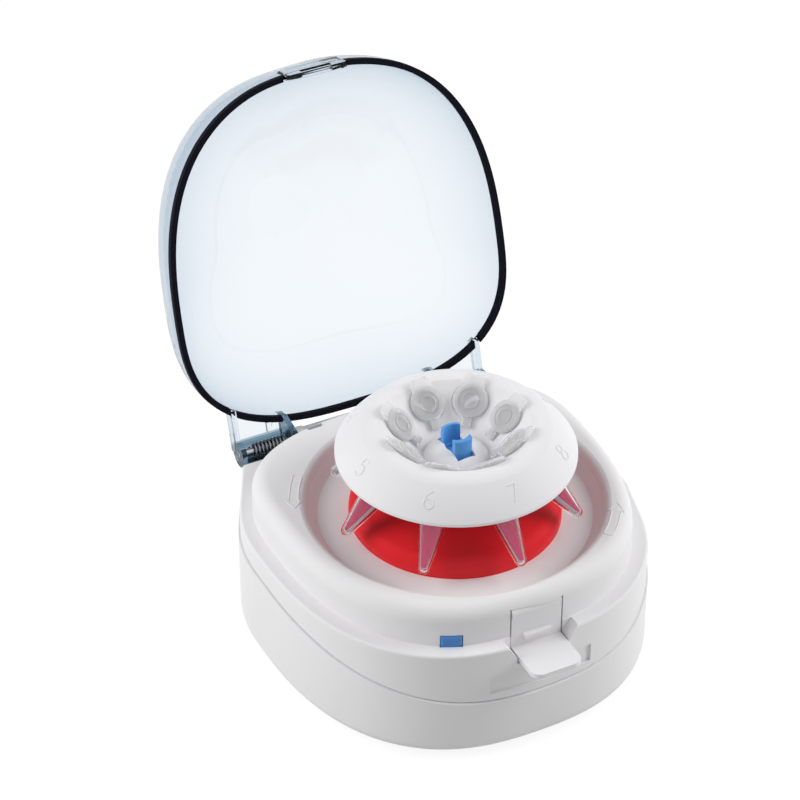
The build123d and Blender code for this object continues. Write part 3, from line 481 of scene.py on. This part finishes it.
def fine(stroke, step):
    """A stroke with points no further apart than step, so that it follows a curved surface."""
    points = [Vector(p) for p in stroke]
    close = [points[0]]
    for first, last in zip(points, points[1:]):
        count = max(1, round((last - first).length / step))
        close += [first.lerp(last, k / count) for k in range(1, count + 1)]
    return close


def skin(node):
    """What a ray hits on a CAD node."""
    mesh = node.data
    return BVHTree.FromPolygons([v.co for v in mesh.vertices], [tuple(p.vertices) for p in mesh.polygons])


def laid_on(surface, starts, heading):
    """Where rays from these places meet a surface."""
    hits = [surface.ray_cast(start, way) for start, way in zip(starts, heading)]
    return [place for place, normal, index, distance in hits if place is not None]


def raised_lines(name, paths, radius):
    """Half-sunk round lines along paths, as one mesh."""
    curve = bpy.data.curves.new(name, "CURVE")
    curve.dimensions = "3D"
    curve.bevel_depth = radius
    curve.bevel_resolution = 1
    for path, closed in paths:
        line = curve.splines.new("POLY")
        line.points.add(len(path) - 1)
        line.use_cyclic_u = closed
        for point, place in zip(line.points, path):
            point.co = (*place, 1.0)
    curve.use_fill_caps = True
    holder = bpy.data.objects.new(name, curve)
    bpy.context.scene.collection.objects.link(holder)
    bpy.context.view_layer.update()
    mesh = bpy.data.meshes.new_from_object(holder.evaluated_get(bpy.context.evaluated_depsgraph_get()))
    bpy.data.objects.remove(holder)
    for face in mesh.polygons:
        face.use_smooth = True
    return mesh


class CentrifugeColours(PropertyGroup):
    """Colours of the pieces."""

    shell: FloatVectorProperty(
        name="Shell", description="White of the casing",
        default=(0.86, 0.85, 0.862), subtype="COLOR", min=0.0, max=1.0)
    rotor: FloatVectorProperty(
        name="Rotor", description="White of the rotor",
        default=(0.875, 0.865, 0.882), subtype="COLOR", min=0.0, max=1.0)
    cowl: FloatVectorProperty(
        name="Cowl", description="Red of the motor cowl",
        default=(0.78, 0.018, 0.026), subtype="COLOR", min=0.0, max=1.0)
    clip: FloatVectorProperty(
        name="Clip", description="Blue of the rotor clip",
        default=(0.09, 0.34, 0.76), subtype="COLOR", min=0.0, max=1.0)
    lens: FloatVectorProperty(
        name="Lens", description="Blue of the indicator",
        default=(0.05, 0.24, 0.62), subtype="COLOR", min=0.0, max=1.0)
    lid: FloatVectorProperty(
        name="Lid", description="Tint of the lid seen square on",
        default=(0.965, 0.975, 0.99), subtype="COLOR", min=0.0, max=1.0)
    # The lid's edge colour: partly its tint seen on end, partly painted reflection of dark surroundings
    lid_edge_tint_and_reflection: FloatVectorProperty(
        name="Lid edge", description="Tint of the lid seen on end",
        default=(0.34, 0.46, 0.57), subtype="COLOR", min=0.0, max=1.0)
    # The lid's depth colour is its real absorption colour; dimmed on the knuckles, webs and catch it is
    # painted shade
    lid_thick_tint_and_shade: FloatVectorProperty(
        name="Lid depth", description="Tint of the lid where it is thick",
        default=(0.36, 0.55, 0.7), subtype="COLOR", min=0.0, max=1.0)
    tube: FloatVectorProperty(
        name="Tube", description="Tint of the clear tubes",
        default=(0.97, 0.975, 0.985), subtype="COLOR", min=0.0, max=1.0)
    cap: FloatVectorProperty(
        name="Cap", description="Milky white of the tube caps",
        default=(0.99, 0.98, 0.99), subtype="COLOR", min=0.0, max=1.0)
    sample: FloatVectorProperty(
        name="Sample", description="Pink of most samples",
        default=(0.8, 0.075, 0.2), subtype="COLOR", min=0.0, max=1.0)
    blue_sample: FloatVectorProperty(
        name="Blue sample", description="Blue of the other samples",
        default=(0.5, 0.68, 0.9), subtype="COLOR", min=0.0, max=1.0)


class CentrifugeSizes(PropertyGroup):
    """Sizes of the raised markings."""

    numeral_height: FloatProperty(
        name="Numeral height", description="Height of the tube numbers on the rotor",
        default=6.6 * MM, unit="LENGTH", precision=4)
    line: FloatProperty(
        name="Line", description="Radius of the raised lines",
        default=0.26 * MM, unit="LENGTH", precision=5)
    arrow_radius: FloatProperty(
        name="Arrow radius", description="From the rotor's axis to the arrows on the deck",
        default=60.0 * MM, unit="LENGTH", precision=4)


class CentrifugeStage(PropertyGroup):
    """Camera and lamps."""

    azimuth: FloatProperty(
        name="Azimuth", description="Heading of the camera",
        default=radians(-27.1), subtype="ANGLE")
    elevation: FloatProperty(
        name="Elevation", description="Height of the camera's view",
        default=radians(36.81), subtype="ANGLE")
    roll: FloatProperty(
        name="Roll", description="Tilt of the picture",
        default=radians(0.27), subtype="ANGLE")
    distance: FloatProperty(
        name="Distance", description="From the camera to what it looks at",
        default=1.1305, unit="LENGTH")
    target: FloatVectorProperty(
        name="Target", description="What the camera looks at, from the rotor's axis",
        default=(-8.7 * MM, 28.47 * MM, 93.78 * MM), subtype="XYZ")
    lens: FloatProperty(
        name="Lens", description="Focal length in mm on a 36 mm sensor",
        default=136.84)
    key_power: FloatProperty(
        name="Key lamp", description="Power of the left lamp, in watts",
        default=7.6)


class CENTRIFUGE_OT_shells(Operator):
    """Casing, latch lever, indicator and feet"""

    bl_idname = "centrifuge.shells"
    bl_label = "Casing"

    def execute(self, context):
        colours = context.scene.centrifuge_colours
        shell = moulded("shell_white", tuple(colours.shell), 0.42)
        give(shell, "base_shell", "upper_housing", "latch_lever")
        give(moulded("lens_blue", tuple(colours.lens), 0.14, depth=0.004, scatter=0.3), "indicator_lens")
        give(frosted("led_epoxy", (0.75, 0.85, 1.0), 0.1), "indicator_led")
        give(rubber("foot_rubber", (0.06, 0.06, 0.065)), "rubber_feet")
        return {"FINISHED"}


class CENTRIFUGE_OT_cowl(Operator):
    """Red cowl over the motor"""

    bl_idname = "centrifuge.cowl"
    bl_label = "Cowl"

    def execute(self, context):
        colours = context.scene.centrifuge_colours
        give(satin_red(tuple(colours.cowl)), "motor_cowl")
        return {"FINISHED"}


class CENTRIFUGE_OT_rotor(Operator):
    """Rotor with its bush"""

    bl_idname = "centrifuge.rotor"
    bl_label = "Rotor"

    def execute(self, context):
        colours = context.scene.centrifuge_colours
        white = moulded("rotor_white", tuple(colours.rotor), 0.36, depth=0.008, scatter=0.1)
        give(white, "rotor")
        give(metal("bush_brass", (0.72, 0.56, 0.28), 0.3), "rotor_bush")
        return {"FINISHED"}


class CENTRIFUGE_OT_numerals(Operator):
    """Raised tube numbers on the rotor's flank"""

    bl_idname = "centrifuge.numerals"
    bl_label = "Numerals"

    def execute(self, context):
        colours = context.scene.centrifuge_colours
        sizes = context.scene.centrifuge_sizes
        surface = skin(NODES["rotor"])
        height = sizes.numeral_height
        paths = []
        for index in range(TUBE_COUNT):
            for stroke in STROKES[index + 1]:
                starts = []
                ways = []
                for across, up in fine(stroke, STROKE_STEP):
                    turn = TUBE_PHASE + 2 * pi * index / TUBE_COUNT + across * height / FLANK_RADIUS
                    outward = Vector((cos(turn), sin(turn), 0.0))
                    along = (up - 0.5) * height
                    normal = outward * FLANK_OUT + Vector((0, 0, FLANK_UP))
                    rise = Vector((0, 0, FLANK_OUT)) - outward * FLANK_UP
                    start = AXIS + outward * FLANK_RADIUS + Vector((0, 0, FLANK_Z)) + rise * along
                    starts.append(start + normal * FLANK_CLEAR)
                    ways.append(-normal)
                paths.append((laid_on(surface, starts, ways), False))
        mesh = raised_lines("rotor_numerals", paths, sizes.line)
        white = moulded("numeral_white", tuple(colours.rotor), 0.36, depth=0.004)
        new_piece("rotor_numerals", mesh, "rotor", white)
        return {"FINISHED"}


class CENTRIFUGE_OT_arrows(Operator):
    """Raised arrows on the deck that show which way the rotor turns"""

    bl_idname = "centrifuge.arrows"
    bl_label = "Arrows"

    def execute(self, context):
        colours = context.scene.centrifuge_colours
        sizes = context.scene.centrifuge_sizes
        surface = skin(NODES["upper_housing"])
        radius = sizes.arrow_radius
        paths = []
        for tail in ARROW_TAILS:
            head = tail + ARROW_SWEEP - ARROW_HEAD
            tip = tail + ARROW_SWEEP
            corners = [(tail, -ARROW_HALF), (head, -ARROW_HALF), (head, -ARROW_BARB), (tip, 0.0),
                       (head, ARROW_BARB), (head, ARROW_HALF), (tail, ARROW_HALF)]
            starts = []
            for (turn, out), (next_turn, next_out) in zip(corners, corners[1:] + corners[:1]):
                for share in ARROW_SHARES:
                    angle = turn + (next_turn - turn) * share
                    reach = radius + out + (next_out - out) * share
                    starts.append(AXIS + Vector((cos(angle) * reach, sin(angle) * reach, ABOVE_DECK)))
            paths.append((laid_on(surface, starts, [Vector((0, 0, -1))] * len(starts)), True))
        mesh = raised_lines("deck_arrows", paths, sizes.line * ARROW_LINE)
        white = moulded("arrow_white", tuple(colours.shell), 0.42, depth=0.004)
        new_piece("deck_arrows", mesh, "base", white)
        return {"FINISHED"}


class CENTRIFUGE_OT_clip(Operator):
    """Blue quick-release clip"""

    bl_idname = "centrifuge.clip"
    bl_label = "Clip"

    def execute(self, context):
        colours = context.scene.centrifuge_colours
        blue = moulded("clip_blue", tuple(colours.clip), 0.38, depth=0.006)
        give(blue, "clip_base", "clip_jaw_rear", "clip_jaw_front")
        return {"FINISHED"}


class CENTRIFUGE_OT_tubes(Operator):
    """Sample tubes and what is in them"""

    bl_idname = "centrifuge.tubes"
    bl_label = "Tubes"

    def execute(self, context):
        colours = context.scene.centrifuge_colours
        body = capped_tube(tuple(colours.cap), tuple(colours.tube))
        pink = liquid("sample_pink", tuple(colours.sample))
        blue = liquid("sample_blue", tuple(colours.blue_sample))
        for number in range(1, TUBE_COUNT + 1):
            give(body, f"tube_{number}")
            give(blue if number in BLUE_SAMPLES else pink, f"sample_{number}")
        return {"FINISHED"}


class CENTRIFUGE_OT_lid(Operator):
    """Clear lid with its seal, pins and springs"""

    bl_idname = "centrifuge.lid"
    bl_label = "Lid"

    def execute(self, context):
        colours = context.scene.centrifuge_colours
        clear = clear_polycarbonate(tuple(colours.lid), tuple(colours.lid_edge_tint_and_reflection), tuple(colours.lid_thick_tint_and_shade))
        give(clear, "lid_shell")
        give(rubber("gasket_black", (0.004, 0.004, 0.009), 0.7, 0.08), "lid_gasket")
        give(metal("pin_steel", (0.62, 0.62, 0.63), 0.25, (0.02, 1.0, 1.0)), "hinge_pins", "latch_pin")
        give(metal("spring_steel", (0.3, 0.31, 0.33), 0.36), "hinge_springs", "latch_spring")
        return {"FINISHED"}


class CENTRIFUGE_OT_works(Operator):
    """Motor, its mounting and the screws"""

    bl_idname = "centrifuge.works"
    bl_label = "Works"

    def execute(self, context):
        give(metal("can_zinc", (0.6, 0.61, 0.62), 0.35, (1.0, 1.0, 0.02)), "motor_can")
        give(moulded("end_cap_black", (0.03, 0.03, 0.033), 0.45), "motor_end_cap")
        give(metal("bearing_bronze", (0.66, 0.5, 0.3), 0.35), "shaft_bearing")
        give(metal("shaft_steel", (0.64, 0.64, 0.65), 0.2, (1.0, 1.0, 0.02)), "motor_shaft", "drive_collar")
        give(metal("plate_galvanised", (0.5, 0.52, 0.54), 0.42), "motor_plate")
        give(rubber("damper_rubber", (0.02, 0.02, 0.02)), "vibration_dampers")
        give(metal("screw_zinc", (0.66, 0.64, 0.58), 0.32), "plate_screws", "base_screws")
        return {"FINISHED"}


class CENTRIFUGE_OT_electrics(Operator):
    """Board, switch and power inlet"""

    bl_idname = "centrifuge.electrics"
    bl_label = "Electrics"

    def execute(self, context):
        give(circuit((0.02, 0.16, 0.05)), "circuit_board")
        give(moulded("part_epoxy", (0.02, 0.02, 0.022), 0.5), "board_parts")
        give(moulded("jack_black", (0.025, 0.025, 0.028), 0.4), "power_jack")
        give(moulded("switch_black", (0.03, 0.03, 0.03), 0.42), "lid_switch")
        return {"FINISHED"}


def floor_finish():
    """White to the camera, with the object's shadow kept faint in it."""
    r = Recipe("floor_white")
    grain = r.noise(40.0)
    diffuse = r.node("ShaderNodeBsdfDiffuse", None, {
        "Color": r.mix(grain, (0.56, 0.56, 0.56), (0.58, 0.58, 0.58)),
    })
    lift = r.node("ShaderNodeEmission", None, {"Color": WHITE, "Strength": FLOOR_GLOW})
    return r.finish(r.blend(r.seen() * FLOOR_SHARE, diffuse, lift))


def lamp(name, place, aim, power):
    """A large soft lamp that shows in nothing."""
    data = bpy.data.lights.new(name, "AREA")
    data.shape = "DISK"
    data.size = LAMP_SIZE
    data.energy = power
    light = bpy.data.objects.new(name, data)
    bpy.context.scene.collection.objects.link(light)
    light.location = place
    light.visible_glossy = False
    light.visible_transmission = False
    light.rotation_mode = "QUATERNION"
    light.rotation_quaternion = (aim - place).to_track_quat("-Z", "Y")


def white_world():
    """Even light on the object, and plain white to the camera, to gloss and through glass."""
    r = Recipe("studio", "worlds", "ShaderNodeOutputWorld")
    lit = r.node("ShaderNodeBackground", None, {"Color": WHITE, "Strength": WORLD_LEVEL})
    shown = r.node("ShaderNodeBackground", None, {"Color": WHITE})
    return r.finish(r.blend(r.seen(), lit, shown))


def floor_piece():
    """A wide floor under the feet."""
    grid = bmesh.new()
    bmesh.ops.create_grid(grid, x_segments=2, y_segments=2, size=FLOOR_HALF)
    mesh = bpy.data.meshes.new("floor")
    grid.to_mesh(mesh)
    grid.free()
    mesh.materials.append(floor_finish())
    floor = bpy.data.objects.new("floor", mesh)
    floor.location.z = FLOOR_DROP
    bpy.context.scene.collection.objects.link(floor)
    return floor


def photo_camera(settings):
    """The camera that sees what the photograph shows."""
    back = Vector((sin(settings.azimuth) * cos(settings.elevation),
                   -cos(settings.azimuth) * cos(settings.elevation), sin(settings.elevation)))
    data = bpy.data.cameras.new("camera")
    data.sensor_width = SENSOR
    data.lens = settings.lens
    data.clip_start = CLIP_NEAR
    data.clip_end = CLIP_FAR
    camera = bpy.data.objects.new("camera", data)
    bpy.context.scene.collection.objects.link(camera)
    camera.location = AXIS + Vector(settings.target) + back * settings.distance
    camera.rotation_mode = "QUATERNION"
    camera.rotation_quaternion = (-back).to_track_quat("-Z", "Y") @ Quaternion((0, 0, 1), settings.roll)
    return camera


class CENTRIFUGE_OT_stage(Operator):
    """Floor, lamps and camera"""

    bl_idname = "centrifuge.stage"
    bl_label = "Stage"

    def execute(self, context):
        settings = context.scene.centrifuge_stage
        context.scene.view_settings.view_transform = "Standard"
        floor_piece()
        context.scene.world = white_world()
        aim = AXIS + Vector((0, 0, LAMP_AIM))
        mirrored = Vector((-LAMP_OFFSET.x, -LAMP_OFFSET.y, LAMP_OFFSET.z))
        lamp("left_lamp", AXIS + mirrored, aim, settings.key_power)
        lamp("right_lamp", AXIS + LAMP_OFFSET, aim, settings.key_power * RIGHT_SHARE)
        context.scene.camera = photo_camera(settings)
        return {"FINISHED"}


PIECES = (
    CENTRIFUGE_OT_shells, CENTRIFUGE_OT_cowl, CENTRIFUGE_OT_rotor, CENTRIFUGE_OT_numerals,
    CENTRIFUGE_OT_arrows, CENTRIFUGE_OT_clip, CENTRIFUGE_OT_tubes, CENTRIFUGE_OT_lid, CENTRIFUGE_OT_works,
    CENTRIFUGE_OT_electrics, CENTRIFUGE_OT_stage,
)
GROUPS = {
    "centrifuge_colours": CentrifugeColours,
    "centrifuge_sizes": CentrifugeSizes,
    "centrifuge_stage": CentrifugeStage,
}


class CENTRIFUGE_PT_panel(Panel):
    """Buttons for every piece, and the values they use"""

    bl_idname = "CENTRIFUGE_PT_panel"
    bl_label = "Mini centrifuge"
    bl_space_type = "VIEW_3D"
    bl_region_type = "UI"
    bl_category = "Centrifuge"

    def draw(self, context):
        for piece in PIECES:
            self.layout.operator(piece.bl_idname)
        for name, group in GROUPS.items():
            box = self.layout.box()
            for value in group.__annotations__:
                box.prop(getattr(context.scene, name), value)


def register():
    for group in GROUPS.values():
        bpy.utils.register_class(group)
    for name, group in GROUPS.items():
        setattr(bpy.types.Scene, name, PointerProperty(type=group))
    for piece in PIECES:
        bpy.utils.register_class(piece)
    bpy.utils.register_class(CENTRIFUGE_PT_panel)


def unregister():
    bpy.utils.unregister_class(CENTRIFUGE_PT_panel)
    for piece in reversed(PIECES):
        bpy.utils.unregister_class(piece)
    for name, group in GROUPS.items():
        delattr(bpy.types.Scene, name)
        bpy.utils.unregister_class(group)


def main():
    register()
    for piece in PIECES:
        group, action = piece.bl_idname.split(".")
        getattr(getattr(bpy.ops, group), action)()


if __name__ == "__main__":
    main()
